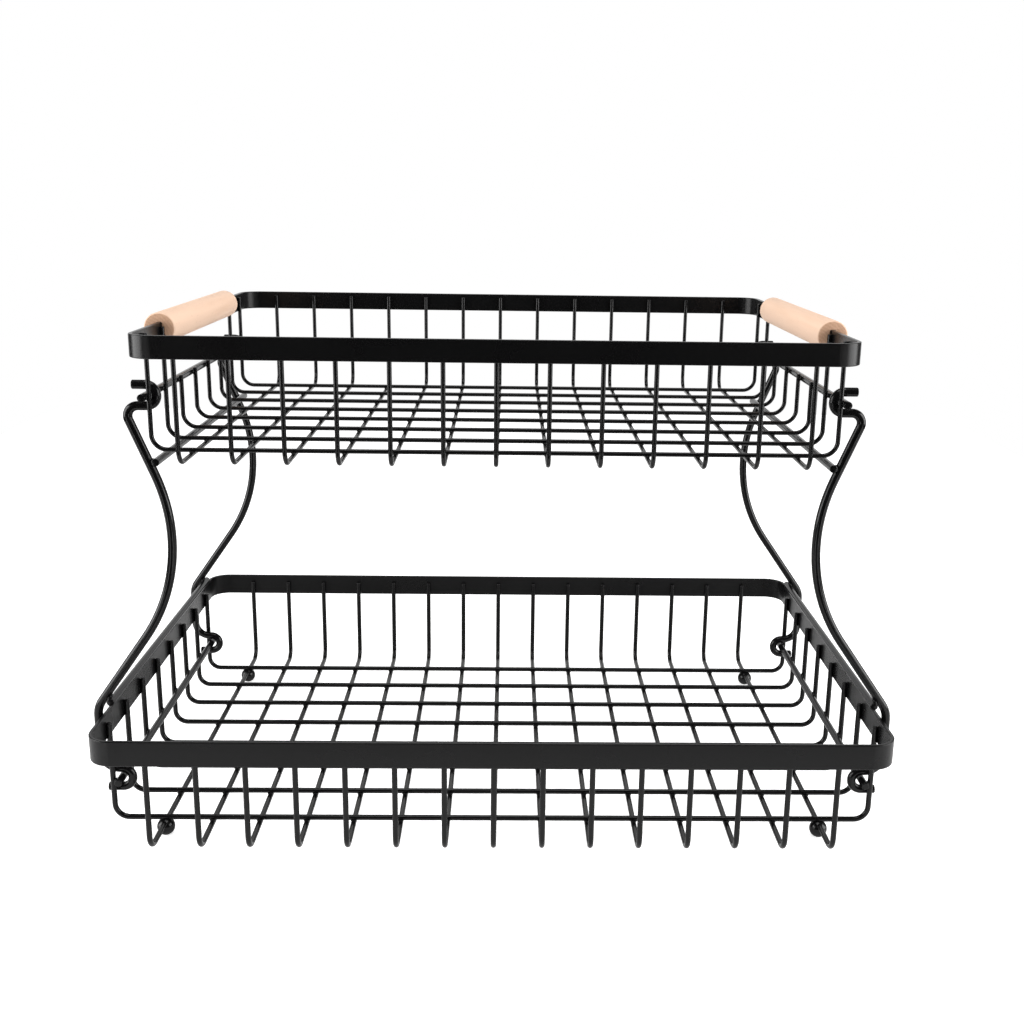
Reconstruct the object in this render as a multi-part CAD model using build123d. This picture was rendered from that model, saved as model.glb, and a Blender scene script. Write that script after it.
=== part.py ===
"""Two-tier wire basket: two grid baskets joined by a pair of hooked side frames.

Millimetres, +Z up, front at -Y, the widest extent along X. The origin is on the floor,
under the middle of the baskets.
"""
import os
from math import cos, radians, tan

from build123d import *

# Overall sizes of the two rims.
lower_width = 409.0
lower_depth = 272.0
lower_rim_top = 68.3
lower_rim_height = 13.5
upper_width = 345.0
upper_depth = 263.0
upper_rim_top = 268.9
upper_rim_height = 11.0
strip_thickness = 2.0
strip_corner_radius = 13.0
strip_edge_radius = 0.5

# Round stock.
lower_wire_radius = 1.45
upper_wire_radius = 1.15
side_rod_radius = 2.0
cross_rod_radius = 2.0
leg_radius = 2.3
weld_depth = 0.1

# Wire grids: the floor heights are those of the long wires, which lie on the cross wires.
upper_cross_wire_count = 13
lower_cross_wire_count = 15
long_wire_count = 8
lower_long_span_share = 0.766
upper_long_span_share = 0.7922
lower_cross_span_share = 0.8557
upper_cross_span_share = 0.8696
lower_floor_height = 9.9
upper_floor_height = 209.8
wire_bend_radius = 7.5
lower_tip_drop = 5.0
upper_tip_drop = 2.5

# Side rods, on which the frames hook.
lower_rod_height = 30.7
upper_rod_height = 235.6
rod_overhang = 2.7

# Side frames.
hook_radius = 5.3
hook_play = 0.3
upper_hook_tip = 6.0
lower_hook_tip = 7.0
frame_inset = 5.3
shoulder_reach = 12.0
shoulder_radius = 5.2
waist_inset = 20.6
waist_height_share = 0.497
waist_bend_share = 0.575
rim_gap = 1.25
knee_rise = 2.2
knee_radius = 14.0
heel_radius = 9.0
upper_cross_rod_share = 0.364
lower_cross_rod_share = 0.083
cross_rod_overhang = 4.0

# Handles and feet.
handle_radius = 8.0
handle_end_gap = 0.85
handle_edge_radius = 0.8
handle_axis_drop = 3.2
foot_radius = 4.75
foot_flat = 0.25

lower_outer_y = lower_long_span_share * lower_depth / 2
upper_outer_y = upper_long_span_share * upper_depth / 2
frame_y = min(lower_outer_y, upper_outer_y) - frame_inset
lower_wire_x = lower_width / 2 - strip_thickness - lower_wire_radius + weld_depth
lower_wire_y = lower_depth / 2 - strip_thickness - lower_wire_radius + weld_depth
upper_wire_x = upper_width / 2 - strip_thickness - upper_wire_radius + weld_depth
upper_wire_y = upper_depth / 2 - strip_thickness - upper_wire_radius + weld_depth
lower_rod_x = lower_wire_x - lower_wire_radius - side_rod_radius + weld_depth
upper_rod_x = upper_wire_x + upper_wire_radius + side_rod_radius - weld_depth


def bent_wire(corners, bends, radius):
    """Round stock along straight runs joined by bends of the given centreline radii."""
    corners = [Vector(*corner) for corner in corners]
    edges, start = [], corners[0]
    for before, corner, after, bend in zip(corners, corners[1:], corners[2:], bends):
        way_in = (corner - before).normalized()
        way_out = (after - corner).normalized()
        half_turn = radians(way_in.get_angle(way_out)) / 2
        bend_start = corner - way_in * bend * tan(half_turn)
        bend_end = corner + way_out * bend * tan(half_turn)
        bend_middle = corner + (way_out - way_in).normalized() * (bend / cos(half_turn) - bend)
        if (bend_start - start).length > radius / 1000:
            edges.append(Edge.make_line(start, bend_start))
        edges.append(Edge.make_three_point_arc(bend_start, bend_middle, bend_end))
        start = bend_end
    edges.append(Edge.make_line(start, corners[-1]))
    section = Plane(origin=corners[0], z_dir=corners[1] - corners[0]) * Circle(radius)
    return sweep(section, path=Wire(edges))


def rod_along_y(x, z, half_length, radius):
    return Pos(x, 0, z) * Rot(90, 0, 0) * Cylinder(radius, 2 * half_length)


def rim(width, depth, top, height):
    outside = RectangleRounded(width, depth, strip_corner_radius)
    inside = RectangleRounded(width - 2 * strip_thickness, depth - 2 * strip_thickness,
                              strip_corner_radius - strip_thickness)
    band = Pos(0, 0, top - height) * extrude(outside - inside, height)
    edges = band.edges().filter_by(lambda edge: edge.bounding_box().size.Z < strip_edge_radius)
    return fillet(edges, strip_edge_radius)


def cross_wire(x, half_depth, floor, tip, radius):
    """Wire that runs front to back under the floor and up the front and rear walls."""
    z = floor - 2 * radius + weld_depth
    return bent_wire([(x, -half_depth, tip), (x, -half_depth, z), (x, half_depth, z),
                      (x, half_depth, tip)], [wire_bend_radius] * 2, radius)


def long_wire(y, half_width, floor, tip, radius):
    """Wire that runs left to right on the floor and up both side walls."""
    return bent_wire([(-half_width, y, tip), (-half_width, y, floor), (half_width, y, floor),
                      (half_width, y, tip)], [wire_bend_radius] * 2, radius)


def places(count, span):
    """Evenly spread places across a span that is centred on zero."""
    return [span * (index / (count - 1) - 1 / 2) for index in range(count)]


def frame_corners():
    """Shoulder, waist and knee of the right side frame, as X and Z."""
    shoulder = Vector(upper_rod_x + shoulder_reach, upper_rod_height + hook_play - hook_radius)
    knee = Vector(lower_width / 2 + rim_gap + leg_radius, lower_rim_top + knee_rise)
    waist = Vector(upper_rod_x - waist_inset,
                   knee.Y + waist_height_share * (shoulder.Y - knee.Y))
    return shoulder, waist, knee


def leg():
    """Right front leg: upper hook, shoulder, waist, knee over the rim, heel, lower hook."""
    upper_z = upper_rod_height + hook_play
    lower_z = lower_rod_height - hook_play
    shoulder, waist, knee = frame_corners()
    half_turn = radians((waist - shoulder).get_angle(knee - waist)) / 2
    shorter_run = min((waist - shoulder).length, (knee - waist).length)
    waist_radius = waist_bend_share * shorter_run / tan(half_turn)
    profile = [(upper_rod_x + upper_hook_tip, upper_z + hook_radius),
               (upper_rod_x - hook_radius, upper_z + hook_radius),
               (upper_rod_x - hook_radius, upper_z - hook_radius),
               (shoulder.X, shoulder.Y), (waist.X, waist.Y), (knee.X, knee.Y),
               (knee.X, lower_z + hook_radius),
               (lower_rod_x - hook_radius, lower_z + hook_radius),
               (lower_rod_x - hook_radius, lower_z - hook_radius),
               (lower_rod_x + lower_hook_tip, lower_z - hook_radius)]
    bends = [hook_radius, hook_radius, shoulder_radius, waist_radius, knee_radius, heel_radius,
             hook_radius, hook_radius]
    return bent_wire([(x, -frame_y, z) for x, z in profile], bends, leg_radius)


def cross_rod(start, end, share):
    """Rod from the front leg to the rear one, welded on their inner side."""
    run = (end - start).normalized()
    reach = leg_radius + cross_rod_radius - weld_depth
    seat = start + (end - start) * share + Vector(run.Y, -run.X) * reach
    return rod_along_y(seat.X, seat.Y, frame_y + cross_rod_overhang, cross_rod_radius)


def handle():
    """Turned grip with a slot from below, pushed over the upper rim strip."""
    axis_x = (upper_width - strip_thickness) / 2
    axis_z = upper_rim_top - handle_axis_drop
    half_length = places(long_wire_count, 2 * upper_outer_y)[-2] - upper_wire_radius - handle_end_gap
    grip = rod_along_y(axis_x, axis_z, half_length, handle_radius)
    grip = fillet(grip.edges().filter_by(GeomType.CIRCLE), handle_edge_radius)
    slot_depth = handle_radius + handle_axis_drop
    slot = Box(strip_thickness, upper_depth, 2 * slot_depth)
    return grip - Pos(axis_x, 0, upper_rim_top - slot_depth) * slot


def feet():
    """Balls with the wire crossings let into their tops and a small flat below."""
    foot_x = lower_cross_span_share * lower_width / 2
    cross_z = lower_floor_height - 2 * lower_wire_radius + weld_depth
    ball = Pos(foot_x, -lower_outer_y, foot_radius - foot_flat) * Sphere(foot_radius)
    ball -= rod_along_y(foot_x, cross_z, lower_depth, lower_wire_radius)
    ball -= Pos(foot_x, -lower_outer_y, lower_floor_height) * Rot(0, 90, 0) * Cylinder(
        lower_wire_radius, 4 * foot_radius)
    ball -= Pos(foot_x, -lower_outer_y, -foot_radius) * Box(
        4 * foot_radius, 4 * foot_radius, 2 * foot_radius)
    right = Compound(children=[ball, mirror(ball, about=Plane.XZ)])
    return Compound(children=[right, mirror(right, about=Plane.YZ)])


def pair(shape):
    return Compound(children=[shape, mirror(shape, about=Plane.YZ)])


def save(name, shape):
    shape.label = name
    export_step(shape, f"parts/{name}.step")


os.makedirs("parts", exist_ok=True)

save("lower_rim", rim(lower_width, lower_depth, lower_rim_top, lower_rim_height))
save("upper_rim", rim(upper_width, upper_depth, upper_rim_top, upper_rim_height))

for index, x in enumerate(places(lower_cross_wire_count, lower_cross_span_share * lower_width)):
    save(f"lower_cross_wire_{index + 1:02d}",
         cross_wire(x, lower_wire_y, lower_floor_height, lower_rim_top - lower_tip_drop,
                    lower_wire_radius))
for index, x in enumerate(places(upper_cross_wire_count, upper_cross_span_share * upper_width)):
    save(f"upper_cross_wire_{index + 1:02d}",
         cross_wire(x, upper_wire_y, upper_floor_height, upper_rim_top - upper_tip_drop,
                    upper_wire_radius))
for index, y in enumerate(places(long_wire_count, 2 * lower_outer_y)):
    save(f"lower_long_wire_{index + 1}",
         long_wire(y, lower_wire_x, lower_floor_height, lower_rim_top - lower_tip_drop,
                   lower_wire_radius))
for index, y in enumerate(places(long_wire_count, 2 * upper_outer_y)):
    under_handle = index not in (0, 1, long_wire_count - 2, long_wire_count - 1)
    tip = upper_rod_height + side_rod_radius if under_handle else upper_rim_top - upper_tip_drop
    save(f"upper_long_wire_{index + 1}",
         long_wire(y, upper_wire_x, upper_floor_height, tip, upper_wire_radius))

save("lower_side_rods", pair(rod_along_y(lower_rod_x, lower_rod_height,
                                         lower_outer_y + rod_overhang, side_rod_radius)))
save("upper_side_rods", pair(rod_along_y(upper_rod_x, upper_rod_height,
                                         upper_outer_y + rod_overhang, side_rod_radius)))

shoulder, waist, knee = frame_corners()
right_pieces = {"front_leg": leg(), "rear_leg": mirror(leg(), about=Plane.XZ),
                "upper_cross_rod": cross_rod(shoulder, waist, upper_cross_rod_share),
                "lower_cross_rod": cross_rod(waist, knee, 1 - lower_cross_rod_share)}
for name, piece in right_pieces.items():
    save(f"right_{name}", piece)
    save(f"left_{name}", mirror(piece, about=Plane.YZ))
save("right_handle", handle())
save("left_handle", mirror(handle(), about=Plane.YZ))
save("ball_feet", feet())
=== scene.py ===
"""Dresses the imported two-tier wire basket: coated strip and wire, weld beads, beech grips."""
from math import cos, radians, sin

import bpy
from mathutils import Matrix, Vector


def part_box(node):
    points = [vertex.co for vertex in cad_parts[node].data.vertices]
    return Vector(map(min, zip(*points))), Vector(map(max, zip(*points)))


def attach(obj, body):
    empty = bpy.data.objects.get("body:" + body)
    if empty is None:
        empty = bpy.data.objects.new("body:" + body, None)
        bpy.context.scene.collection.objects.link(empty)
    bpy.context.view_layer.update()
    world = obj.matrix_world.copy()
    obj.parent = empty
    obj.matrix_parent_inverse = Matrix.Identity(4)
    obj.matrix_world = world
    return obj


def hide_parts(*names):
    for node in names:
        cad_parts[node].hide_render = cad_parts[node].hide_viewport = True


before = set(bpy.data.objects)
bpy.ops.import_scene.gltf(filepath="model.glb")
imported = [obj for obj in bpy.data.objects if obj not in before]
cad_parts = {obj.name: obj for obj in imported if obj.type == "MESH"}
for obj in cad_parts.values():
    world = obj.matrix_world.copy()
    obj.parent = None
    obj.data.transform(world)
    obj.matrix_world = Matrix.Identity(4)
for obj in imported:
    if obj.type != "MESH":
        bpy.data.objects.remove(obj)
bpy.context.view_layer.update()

MM = 0.001

# Photograph's camera, in metres and radians, with the floor at zero.
CAMERA_PLACE = (4.9 * MM, -685.5 * MM, 333.2 * MM)
CAMERA_YAW = 0.0211
CAMERA_PITCH = -0.2482
CAMERA_ROLL = 0.0142
FOCAL_PIXELS = 1198.7
CENTRE_PIXEL = (530.5, 500.0)
PHOTO_PIXELS = 1024
SENSOR_MM = 36.0


def node(name):
    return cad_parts[name]


def numbered(start):
    """Names of the nodes that begin with these words, in order."""
    return sorted(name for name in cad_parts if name.startswith(start))


def middle(name):
    low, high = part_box(name)
    return (low + high) / 2


# Colours, as linear values.
BLACK_COAT = (0.0035, 0.0034, 0.0036, 1)
BEECH_PALE = (0.87, 0.61, 0.45, 1)
BEECH_WARM = (0.82, 0.55, 0.385, 1)
BEECH_FLECK = (0.58, 0.36, 0.25, 1)
BEECH_END_DARK = (0.60, 0.35, 0.225, 1)
BEECH_END = (0.70, 0.43, 0.28, 1)
BEECH_END_PALE = (0.78, 0.51, 0.35, 1)
FLOOR_WHITE = (0.9, 0.9, 0.9, 1)
FLOOR_GLOW = 0.75
FLOOR_SPAN = (1.4, 1.5)
FLOOR_MIDDLE_Y = 0.45
ROOM_FILL = 0.38
ROOM_BEHIND = 1.0
ROOM_IN_FRONT = 0.02
LOW_REFLECTOR = 5.0

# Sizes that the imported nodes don't give.
UPPER_HOOK_END = (178.5 * MM, 241.2 * MM)
LOWER_HOOK_END = (204.8 * MM, 25.1 * MM)
LEG_RADIUS = 2.3 * MM
GRIP_SLOT = 2.8 * MM
GRIP_EDGE = 1.0 * MM
SLOT_EDGE = 0.3 * MM


def new_material(name):
    material = bpy.data.materials.new(name)
    material.use_nodes = True
    tree = material.node_tree
    tree.nodes.clear()
    output = tree.nodes.new("ShaderNodeOutputMaterial")
    shader = tree.nodes.new("ShaderNodeBsdfPrincipled")
    tree.links.new(shader.outputs["BSDF"], output.inputs["Surface"])
    return material, tree, shader


def group_tree(name, inputs, outputs):
    tree = bpy.data.node_groups.new(name, "ShaderNodeTree")
    for label, kind, value in inputs:
        socket = tree.interface.new_socket(name=label, in_out="INPUT", socket_type=kind)
        socket.default_value = value
    for label, kind in outputs:
        tree.interface.new_socket(name=label, in_out="OUTPUT", socket_type=kind)
    return tree, tree.nodes.new("NodeGroupInput"), tree.nodes.new("NodeGroupOutput")


def noise(tree, vector, scale, detail=3.0, roughness=0.5):
    texture = tree.nodes.new("ShaderNodeTexNoise")
    tree.links.new(vector, texture.inputs["Vector"])
    texture.inputs["Scale"].default_value = scale
    texture.inputs["Detail"].default_value = detail
    texture.inputs["Roughness"].default_value = roughness
    return texture.outputs["Fac"]


def mapped(tree, vector, scale=(1, 1, 1), location=(0, 0, 0)):
    mapping = tree.nodes.new("ShaderNodeMapping")
    tree.links.new(vector, mapping.inputs["Vector"])
    mapping.inputs["Scale"].default_value = scale
    mapping.inputs["Location"].default_value = location
    return mapping.outputs["Vector"]


def ramp(tree, factor, stops):
    block = tree.nodes.new("ShaderNodeValToRGB")
    tree.links.new(factor, block.inputs["Fac"])
    elements = block.color_ramp.elements
    while len(elements) < len(stops):
        elements.new(0.5)
    for element, (place, colour) in zip(elements, stops):
        element.position = place
        element.color = colour
    return block.outputs["Color"]


def ranged(tree, value, low, high, from_low=0.0, from_high=1.0):
    block = tree.nodes.new("ShaderNodeMapRange")
    tree.links.new(value, block.inputs["Value"])
    block.inputs["From Min"].default_value = from_low
    block.inputs["From Max"].default_value = from_high
    block.inputs["To Min"].default_value = low
    block.inputs["To Max"].default_value = high
    return block.outputs["Result"]


def math(tree, operation, first, second=None):
    block = tree.nodes.new("ShaderNodeMath")
    block.operation = operation
    for socket, value in zip(block.inputs, (first, second)):
        if value is None:
            continue
        if isinstance(value, (int, float)):
            socket.default_value = value
        else:
            tree.links.new(value, socket)
    return block.outputs["Value"]


def coat_skin_group():
    """Orange peel and cloudy sheen of a baked powder coat."""
    tree, given, made = group_tree(
        "powder coat skin",
        [("Vector", "NodeSocketVector", (0, 0, 0)), ("Shade", "NodeSocketColor", BLACK_COAT),
         ("Cloud", "NodeSocketFloat", 0.3), ("Sheen Low", "NodeSocketFloat", 0.3),
         ("Sheen High", "NodeSocketFloat", 0.45)],
        [("Colour", "NodeSocketColor"), ("Roughness", "NodeSocketFloat"),
         ("Height", "NodeSocketFloat")])
    cloud = noise(tree, given.outputs["Vector"], 26.0, 3.0)
    peel = noise(tree, given.outputs["Vector"], 1100.0, 2.0)
    grit = noise(tree, given.outputs["Vector"], 3800.0, 1.0)
    lighter = tree.nodes.new("ShaderNodeMix")
    lighter.data_type = "RGBA"
    lighter.blend_type = "ADD"
    tree.links.new(math(tree, "MULTIPLY", cloud, given.outputs["Cloud"]),
                   lighter.inputs["Factor"])
    tree.links.new(given.outputs["Shade"], lighter.inputs["A"])
    tree.links.new(given.outputs["Shade"], lighter.inputs["B"])
    tree.links.new(lighter.outputs["Result"], made.inputs["Colour"])
    block = tree.nodes.new("ShaderNodeMapRange")
    tree.links.new(cloud, block.inputs["Value"])
    block.inputs["From Min"].default_value = 0.3
    block.inputs["From Max"].default_value = 0.7
    tree.links.new(given.outputs["Sheen Low"], block.inputs["To Min"])
    tree.links.new(given.outputs["Sheen High"], block.inputs["To Max"])
    tree.links.new(block.outputs["Result"], made.inputs["Roughness"])
    height = math(tree, "ADD", peel, math(tree, "MULTIPLY", grit, 0.25))
    tree.links.new(height, made.inputs["Height"])
    return tree


COAT_SKIN = coat_skin_group()


def coat_material(name, shade, sheen, cloud, bump):
    material, tree, shader = new_material(name)
    place = tree.nodes.new("ShaderNodeTexCoord")
    skin = tree.nodes.new("ShaderNodeGroup")
    skin.node_tree = COAT_SKIN
    tree.links.new(place.outputs["Object"], skin.inputs["Vector"])
    skin.inputs["Shade"].default_value = shade
    skin.inputs["Cloud"].default_value = cloud
    skin.inputs["Sheen Low"].default_value = sheen[0]
    skin.inputs["Sheen High"].default_value = sheen[1]
    tree.links.new(skin.outputs["Colour"], shader.inputs["Base Color"])
    tree.links.new(skin.outputs["Roughness"], shader.inputs["Roughness"])
    relief = tree.nodes.new("ShaderNodeBump")
    relief.inputs["Strength"].default_value = bump
    relief.inputs["Distance"].default_value = 0.05 * MM
    tree.links.new(skin.outputs["Height"], relief.inputs["Height"])
    tree.links.new(relief.outputs["Normal"], shader.inputs["Normal"])
    shader.inputs["Specular IOR Level"].default_value = 0.29
    return material


def beech_material(axis_x, axis_z):
    """Turned beech, its grain along the grip, with short dark flecks and rings on the ends."""
    material, tree, shader = new_material("turned beech")
    place = tree.nodes.new("ShaderNodeTexCoord").outputs["Object"]
    centred = mapped(tree, place, location=(-axis_x, 0, -axis_z))
    along = mapped(tree, centred, scale=(260, 16, 260))
    fibre = noise(tree, along, 1.0, 5.0, 0.6)
    broad = noise(tree, mapped(tree, centred, scale=(60, 5, 60)), 1.0, 2.0)
    flecks = noise(tree, mapped(tree, centred, scale=(1300, 210, 1300)), 1.0, 1.0)
    fleck_mask = ranged(tree, flecks, 0.0, 1.0, 0.66, 0.74)
    tone = math(tree, "ADD", math(tree, "MULTIPLY", fibre, 0.45),
                math(tree, "MULTIPLY", broad, 0.55))
    grain = ramp(tree, tone, [(0.36, BEECH_WARM), (0.5, BEECH_PALE), (0.66, BEECH_PALE)])
    dark = tree.nodes.new("ShaderNodeMix")
    dark.data_type = "RGBA"
    tree.links.new(math(tree, "MULTIPLY", fleck_mask, 0.22), dark.inputs["Factor"])
    tree.links.new(grain, dark.inputs["A"])
    dark.inputs["B"].default_value = BEECH_FLECK
    facing = tree.nodes.new("ShaderNodeSeparateXYZ")
    geometry = tree.nodes.new("ShaderNodeNewGeometry")
    tree.links.new(geometry.outputs["Normal"], facing.inputs["Vector"])
    end_mask = ranged(tree, math(tree, "ABSOLUTE", facing.outputs["Y"]), 0.0, 1.0, 0.8, 0.97)
    rings = tree.nodes.new("ShaderNodeTexWave")
    rings.wave_type = "RINGS"
    rings.rings_direction = "Y"
    tree.links.new(mapped(tree, centred, location=(0.011, 0, 0.009)), rings.inputs["Vector"])
    rings.inputs["Scale"].default_value = 190.0
    rings.inputs["Distortion"].default_value = 1.6
    pores = noise(tree, mapped(tree, centred, scale=(2400, 300, 2400)), 1.0, 2.0)
    end_tone = math(tree, "ADD", math(tree, "MULTIPLY", rings.outputs["Fac"], 0.18),
                    math(tree, "MULTIPLY", pores, 0.82))
    end_grain = ramp(tree, end_tone, [(0.25, BEECH_END_DARK), (0.55, BEECH_END),
                                      (0.8, BEECH_END_PALE)])
    whole = tree.nodes.new("ShaderNodeMix")
    whole.data_type = "RGBA"
    tree.links.new(end_mask, whole.inputs["Factor"])
    tree.links.new(dark.outputs["Result"], whole.inputs["A"])
    tree.links.new(end_grain, whole.inputs["B"])
    tree.links.new(whole.outputs["Result"], shader.inputs["Base Color"])
    tree.links.new(ranged(tree, fibre, 0.5, 0.66, 0.3, 0.7), shader.inputs["Roughness"])
    relief = tree.nodes.new("ShaderNodeBump")
    relief.inputs["Strength"].default_value = 0.35
    relief.inputs["Distance"].default_value = 0.08 * MM
    tree.links.new(math(tree, "SUBTRACT", fibre, math(tree, "MULTIPLY", fleck_mask, 0.5)),
                   relief.inputs["Height"])
    tree.links.new(relief.outputs["Normal"], shader.inputs["Normal"])
    shader.inputs["Specular IOR Level"].default_value = 0.35
    return material


strip_coat = coat_material("strip coat", BLACK_COAT, (0.25, 0.31), 0.4, 0.06)
wire_coat = coat_material("wire coat", BLACK_COAT, (0.15, 0.21), 0.5, 0.05)
foot_coat = coat_material("foot coat", BLACK_COAT, (0.14, 0.20), 0.3, 0.04)


def finish_with(name, material):
    piece = node(name)
    piece.data.materials.clear()
    piece.data.materials.append(material)
    for polygon in piece.data.polygons:
        polygon.material_index = 0


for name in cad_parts:
    if name == "ball_feet":
        finish_with(name, foot_coat)
    elif name.endswith("_rim"):
        finish_with(name, strip_coat)
    else:
        finish_with(name, wire_coat)


def clear_selection():
    """Object mode with nothing selected."""
    if bpy.context.object and bpy.context.object.mode != "OBJECT":
        bpy.ops.object.mode_set(mode="OBJECT")
    bpy.ops.object.select_all(action="DESELECT")


def edit(piece, kind, chosen):
    """Edit mode with the vertices, edges or faces selected for which chosen is true."""
    clear_selection()
    bpy.context.view_layer.objects.active = piece
    piece.select_set(True)
    bpy.ops.object.mode_set(mode="EDIT")
    bpy.ops.mesh.select_mode(type=kind)
    bpy.ops.mesh.select_all(action="DESELECT")
    bpy.ops.object.mode_set(mode="OBJECT")
    parts = {"VERT": piece.data.vertices, "EDGE": piece.data.edges, "FACE": piece.data.polygons}
    for part in parts[kind]:
        part.select = bool(chosen(part))
    bpy.ops.object.mode_set(mode="EDIT")


def named(name):
    """Names the piece at hand and puts its place into its mesh."""
    bpy.ops.object.mode_set(mode="OBJECT")
    piece = bpy.context.object
    bpy.ops.object.transform_apply(location=True, rotation=True, scale=True)
    piece.name = piece.data.name = name
    return piece


def edge_points(piece, edge):
    return [piece.data.vertices[index].co for index in edge.vertices]


def weld_bead(reach, height):
    """Metal and coat pooled where two crossing wires touch: a lens drawn out into the crotches."""
    clear_selection()
    bpy.ops.mesh.primitive_uv_sphere_add(segments=8, ring_count=6, radius=reach)
    bead = named("bead pattern")
    edit(bead, "VERT", lambda vertex: abs(vertex.co.z) < 0.9 * reach)
    bpy.ops.transform.resize(value=(1, 1, height / reach), center_override=(0, 0, 0))
    edit(bead, "VERT", lambda vertex: abs(vertex.co.z) >= 0.9 * reach)
    bpy.ops.transform.resize(value=(1, 1, 0.9 * height / reach), center_override=(0, 0, 0))
    edit(bead, "VERT", lambda vertex: abs(abs(vertex.co.x) - abs(vertex.co.y)) < 0.1 * reach)
    bpy.ops.transform.resize(value=(1.12, 1.12, 1), center_override=(0, 0, 0))
    bpy.ops.object.mode_set(mode="OBJECT")
    bpy.ops.object.shade_smooth()
    return bead


def coated_tip(radius, rise, sides=16):
    """Cut wire end under its coat: a low cap with a rounded shoulder, let into the wire."""
    clear_selection()
    bpy.ops.mesh.primitive_cylinder_add(vertices=sides, radius=radius, depth=2 * rise)
    tip = named("tip pattern")
    edit(tip, "EDGE", lambda edge: all(co.z > 0.9 * rise for co in edge_points(tip, edge)))
    bpy.ops.mesh.bevel(offset=0.9 * rise, segments=3, profile=0.5)
    edit(tip, "VERT", lambda vertex: vertex.co.z < -0.9 * rise)
    bpy.ops.transform.resize(value=(0.9, 0.9, 1), center_override=(0, 0, 0))
    bpy.ops.object.mode_set(mode="OBJECT")
    bpy.ops.object.shade_smooth()
    return tip


def turned(place, out, along=None):
    """Puts a pattern's Z on the way out, its X on the way along, and its middle at the place."""
    out = Vector(out).normalized()
    if along is None:
        turn = out.to_track_quat("Z", "Y").to_matrix()
    else:
        along = Vector(along).normalized()
        turn = Matrix((along, out.cross(along), out)).transposed()
    return Matrix.Translation(place) @ turn.to_4x4()


def copies(pattern, name, turns, body, material):
    """One piece of a copy of the pattern at each turn, each with its own mesh, then joined."""
    clear_selection()
    for turn in turns:
        copy = pattern.copy()
        copy.data = pattern.data.copy()
        copy.data.transform(turn)
        bpy.context.scene.collection.objects.link(copy)
        copy.select_set(True)
        bpy.context.view_layer.objects.active = copy
    bpy.ops.object.join()
    piece = bpy.context.object
    piece.name = piece.data.name = name
    piece.data.materials.clear()
    piece.data.materials.append(material)
    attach(piece, body)
    return piece


def half_span(name, axis):
    """Half of a node's size along an axis."""
    low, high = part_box(name)
    return (high[axis] - low[axis]) / 2


X, Y, Z = 0, 1, 2
SIDES = (-1, 1)


def basket_welds(tier, bead_reach, bead_height, rods_outside):
    """Weld beads of one basket: floor crossings, and long wires on the side rods."""
    long_wires, cross_wires = numbered(f"{tier}_long_wire_"), numbered(f"{tier}_cross_wire_")
    wire_radius = half_span(long_wires[0], Y)
    floor_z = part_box(long_wires[0])[0].z
    beads = [turned((middle(across).x, middle(along).y, floor_z), (0, 0, 1), (1, 0, 0))
             for across in cross_wires for along in long_wires]
    rods = f"{tier}_side_rods"
    rod_radius = half_span(rods, Z)
    rod_reach = half_span(rods, X) - (2 * rod_radius if rods_outside else 0)
    beads += [turned((side * rod_reach, middle(along).y, middle(rods).z), (1, 0, 0), (0, 1, 0))
              for side in SIDES for along in long_wires]
    bead = weld_bead(bead_reach, bead_height)
    copies(bead, f"{tier}_weld_beads", beads, f"{tier}_basket", wire_coat)
    bpy.data.objects.remove(bead)

    tips = [turned((middle(across).x, side * (half_span(across, Y) - wire_radius),
                    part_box(across)[1].z), (0, 0, 1)) for across in cross_wires for side in SIDES]
    tips += [turned((side * (half_span(along, X) - wire_radius), middle(along).y,
                     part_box(along)[1].z), (0, 0, 1)) for along in long_wires for side in SIDES]
    tip = coated_tip(wire_radius, 0.45 * wire_radius)
    copies(tip, f"{tier}_wire_tips", tips, f"{tier}_basket", wire_coat)
    bpy.data.objects.remove(tip)

    ends = [turned((side * (half_span(rods, X) - rod_radius), way * half_span(rods, Y),
                    middle(rods).z), (0, way, 0)) for side in SIDES for way in SIDES]
    end = coated_tip(rod_radius, 0.2 * rod_radius, 20)
    copies(end, f"{tier}_rod_ends", ends, f"{tier}_basket", wire_coat)
    bpy.data.objects.remove(end)


def frame_welds(side_name, side):
    """Weld beads and coated ends of one hooked side frame."""
    beads, rod_ends, hook_ends = [], [], []
    rods = [f"{side_name}_upper_cross_rod", f"{side_name}_lower_cross_rod"]
    legs = [f"{side_name}_front_leg", f"{side_name}_rear_leg"]
    for rod in rods:
        centre = middle(rod)
        for leg in legs:
            place = Vector((centre.x, middle(leg).y, centre.z))
            touch = node(leg).closest_point_on_mesh(place)[1]
            out = touch - place
            out.y = 0
            beads.append(turned(place + out, out, (0, 1, 0)))
        rod_ends += [turned((centre.x, way * half_span(rod, Y), centre.z), (0, way, 0))
                     for way in SIDES]
    for leg in legs:
        for reach, height in (UPPER_HOOK_END, LOWER_HOOK_END):
            hook_ends.append(turned((side * reach, middle(leg).y, height), (side, 0, 0)))
    rod_radius = half_span(rods[0], Z)
    bead = weld_bead(2.3 * MM, 1.1 * MM)
    copies(bead, f"{side_name}_frame_welds", beads, f"{side_name}_frame", wire_coat)
    bpy.data.objects.remove(bead)
    end = coated_tip(rod_radius, 0.2 * rod_radius, 20)
    copies(end, f"{side_name}_frame_rod_ends", rod_ends, f"{side_name}_frame",
           wire_coat)
    bpy.data.objects.remove(end)
    end = coated_tip(LEG_RADIUS, 0.2 * LEG_RADIUS, 20)
    copies(end, f"{side_name}_hook_ends", hook_ends, f"{side_name}_frame",
           wire_coat)
    bpy.data.objects.remove(end)


basket_welds("lower", 1.75 * MM, 0.85 * MM, rods_outside=False)
basket_welds("upper", 1.45 * MM, 0.7 * MM, rods_outside=True)
frame_welds("left", -1)
frame_welds("right", 1)


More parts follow.
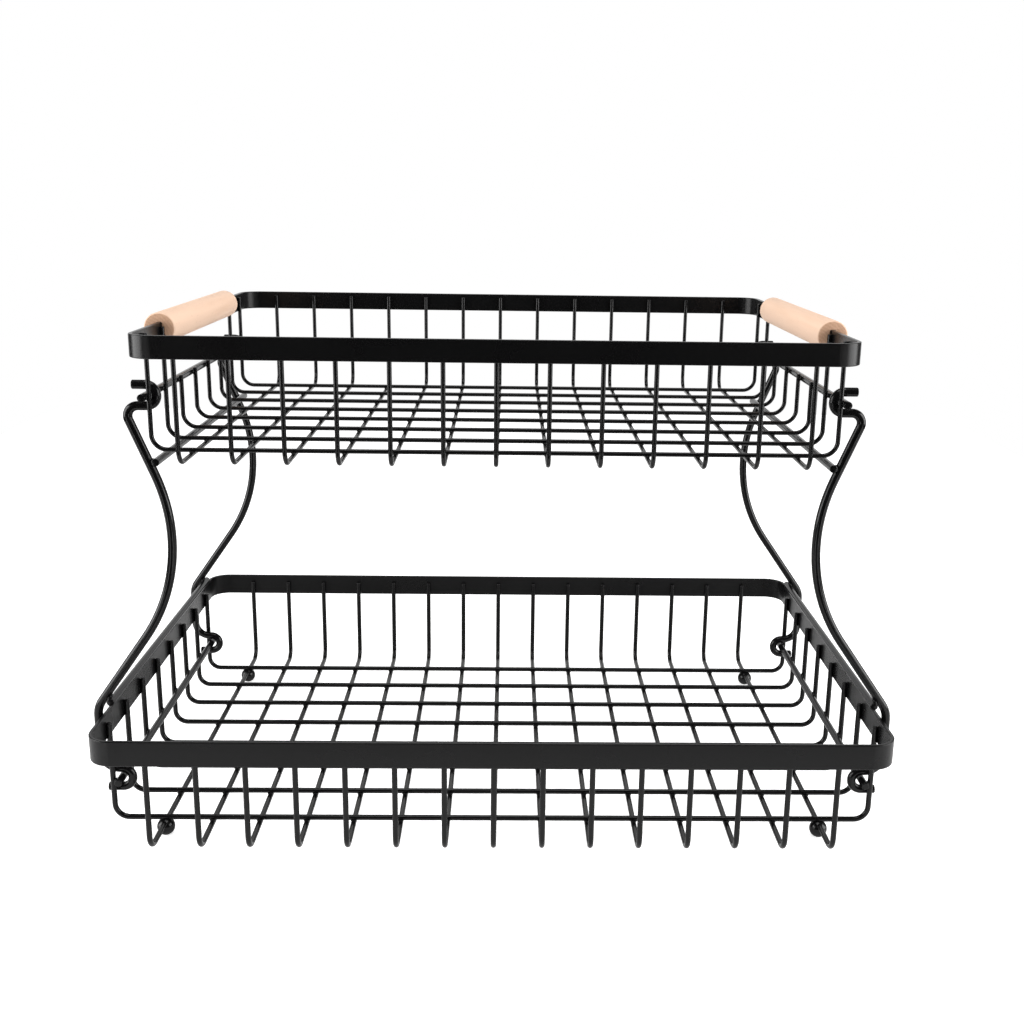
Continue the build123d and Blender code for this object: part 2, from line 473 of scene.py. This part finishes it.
def turned_grip(side_name):
    """Beech dowel with rounded ends, slotted from below for the rim strip to pass through."""
    name = f"{side_name}_handle"
    centre = middle(name)
    radius, half_length = half_span(name, X), half_span(name, Y)
    rim_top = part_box("upper_rim")[1].z
    clear_selection()
    bpy.ops.mesh.primitive_cylinder_add(vertices=72, radius=radius, depth=2 * half_length)
    grip = named(f"{side_name}_turned_grip")
    for end in SIDES:
        edit(grip, "EDGE", lambda edge: all(end * co.z > 0.999 * half_length
                                            for co in edge_points(grip, edge)))
        bpy.ops.mesh.bevel(offset=GRIP_EDGE, segments=5, profile=0.5)
    bpy.ops.object.mode_set(mode="OBJECT")
    grip.data.transform(turned((centre.x, 0, centre.z), (0, 1, 0), (1, 0, 0)))

    clear_selection()
    bpy.ops.mesh.primitive_cube_add(size=1, location=(centre.x, 0, rim_top - radius))
    slot = bpy.context.object
    slot.scale = (GRIP_SLOT, 3 * half_length, 2 * radius)
    slot = named("slot cutter")
    cut = grip.modifiers.new("slot", "BOOLEAN")
    cut.operation = "DIFFERENCE"
    cut.solver = "EXACT"
    cut.object = slot
    eased = grip.modifiers.new("eased slot", "BEVEL")
    eased.width = SLOT_EDGE
    eased.segments = 2
    eased.limit_method = "ANGLE"
    eased.angle_limit = radians(50)
    clear_selection()
    grip.select_set(True)
    bpy.context.view_layer.objects.active = grip
    for modifier in ("slot", "eased slot"):
        bpy.ops.object.modifier_apply(modifier=modifier)
    bpy.data.objects.remove(slot)
    bpy.ops.object.shade_smooth_by_angle(angle=radians(35))
    grip.data.materials.clear()
    grip.data.materials.append(beech_material(centre.x, centre.z))
    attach(grip, "upper_basket")
    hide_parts(name)


for side_name in ("left", "right"):
    turned_grip(side_name)


def studio_floor():
    """White board that ends in front of the baskets, so that upright faces reflect the dark."""
    clear_selection()
    bpy.ops.mesh.primitive_plane_add(size=1, location=(0, FLOOR_MIDDLE_Y, 0))
    floor = bpy.context.object
    floor.scale = (*FLOOR_SPAN, 1)
    floor = named("floor")
    material, tree, shader = new_material("white floor")
    shader.inputs["Base Color"].default_value = FLOOR_WHITE
    shader.inputs["Roughness"].default_value = 0.7
    light_path = tree.nodes.new("ShaderNodeLightPath")
    glow = tree.nodes.new("ShaderNodeEmission")
    glow.inputs["Color"].default_value = (1, 1, 1, 1)
    blend = tree.nodes.new("ShaderNodeAddShader")
    tree.links.new(math(tree, "MULTIPLY", light_path.outputs["Is Camera Ray"], FLOOR_GLOW),
                   glow.inputs["Strength"])
    tree.links.new(shader.outputs["BSDF"], blend.inputs[0])
    tree.links.new(glow.outputs["Emission"], blend.inputs[1])
    output = next(block for block in tree.nodes if block.type == "OUTPUT_MATERIAL")
    tree.links.new(blend.outputs["Shader"], output.inputs["Surface"])
    floor.data.materials.append(material)


def window(tree, value, low, high, soft):
    """One between low and high, falling to nothing over the soft width outside them."""
    rise = ranged(tree, value, 0.0, 1.0, low - soft, low)
    fall = ranged(tree, value, 1.0, 0.0, high, high + soft)
    return math(tree, "MULTIPLY", rise, fall)


def studio_world():
    """White to the camera. Gloss sees white behind the baskets, and in front of them a dark
    room with two low reflectors. All else gets an even fill."""
    world = bpy.data.worlds.new("studio")
    bpy.context.scene.world = world
    world.use_nodes = True
    tree = world.node_tree
    tree.nodes.clear()
    output = tree.nodes.new("ShaderNodeOutputWorld")
    parts = tree.nodes.new("ShaderNodeSeparateXYZ")
    tree.links.new(tree.nodes.new("ShaderNodeTexCoord").outputs["Generated"],
                   parts.inputs["Vector"])
    behind = ranged(tree, parts.outputs["Y"], ROOM_IN_FRONT, ROOM_BEHIND, 0.66, 0.84)
    forward = math(tree, "MAXIMUM", math(tree, "MULTIPLY", parts.outputs["Y"], -1.0), 0.01)
    sideways = math(tree, "DIVIDE", math(tree, "ABSOLUTE", parts.outputs["X"]), forward)
    reflector = math(tree, "MULTIPLY", window(tree, sideways, 0.62, 0.8, 0.08),
                     window(tree, parts.outputs["Z"], -0.42, -0.2, 0.03))
    room = math(tree, "ADD", behind, math(tree, "MULTIPLY", reflector, LOW_REFLECTOR))
    light_path = tree.nodes.new("ShaderNodeLightPath")
    glossy = light_path.outputs["Is Glossy Ray"]
    seen = math(tree, "MAXIMUM", light_path.outputs["Is Camera Ray"],
                light_path.outputs["Is Transmission Ray"])
    lit = math(tree, "ADD", math(tree, "MULTIPLY", room, glossy),
               math(tree, "MULTIPLY", math(tree, "SUBTRACT", 1.0, glossy), ROOM_FILL))
    strength = math(tree, "MAXIMUM", seen,
                    math(tree, "MULTIPLY", math(tree, "SUBTRACT", 1.0, seen), lit))
    light = tree.nodes.new("ShaderNodeBackground")
    light.inputs["Color"].default_value = (1, 1, 1, 1)
    tree.links.new(strength, light.inputs["Strength"])
    tree.links.new(light.outputs["Background"], output.inputs["Surface"])


def softbox(name, place, target, size, power):
    data = bpy.data.lights.new(name, "AREA")
    data.shape = "RECTANGLE"
    data.size, data.size_y = size
    data.energy = power
    lamp = bpy.data.objects.new(name, data)
    bpy.context.scene.collection.objects.link(lamp)
    lamp.location = place
    lamp.rotation_euler = (Vector(target) - Vector(place)).to_track_quat("-Z", "Y").to_euler()


def photo_camera():
    data = bpy.data.cameras.new("photo camera")
    data.sensor_width = SENSOR_MM
    data.lens = FOCAL_PIXELS / PHOTO_PIXELS * SENSOR_MM
    data.shift_x = (PHOTO_PIXELS / 2 - CENTRE_PIXEL[0]) / PHOTO_PIXELS
    data.shift_y = (CENTRE_PIXEL[1] - PHOTO_PIXELS / 2) / PHOTO_PIXELS
    data.clip_start = 0.01
    camera = bpy.data.objects.new("photo camera", data)
    bpy.context.scene.collection.objects.link(camera)
    forward = Vector((sin(CAMERA_YAW) * cos(CAMERA_PITCH), cos(CAMERA_YAW) * cos(CAMERA_PITCH),
                      sin(CAMERA_PITCH)))
    right = Vector((cos(CAMERA_YAW), -sin(CAMERA_YAW), 0))
    up = right.cross(forward)
    rolled_right = right * cos(CAMERA_ROLL) + up * sin(CAMERA_ROLL)
    rolled_up = up * cos(CAMERA_ROLL) - right * sin(CAMERA_ROLL)
    turn = Matrix((rolled_right, rolled_up, -forward)).transposed()
    camera.matrix_world = Matrix.Translation(CAMERA_PLACE) @ turn.to_4x4()
    bpy.context.scene.camera = camera


studio_floor()
studio_world()
softbox("left side", (-1.25, -0.37, 0.45), (0, -0.2, 0.2), (1.0, 0.9), 17)
softbox("right side", (1.25, -0.37, 0.45), (0, -0.2, 0.2), (1.0, 0.9), 17)
softbox("overhead", (0, -0.2, 1.6), (0, 0, 0.15), (1.0, 0.8), 10)
photo_camera()
bpy.context.scene.view_settings.view_transform = "Standard"
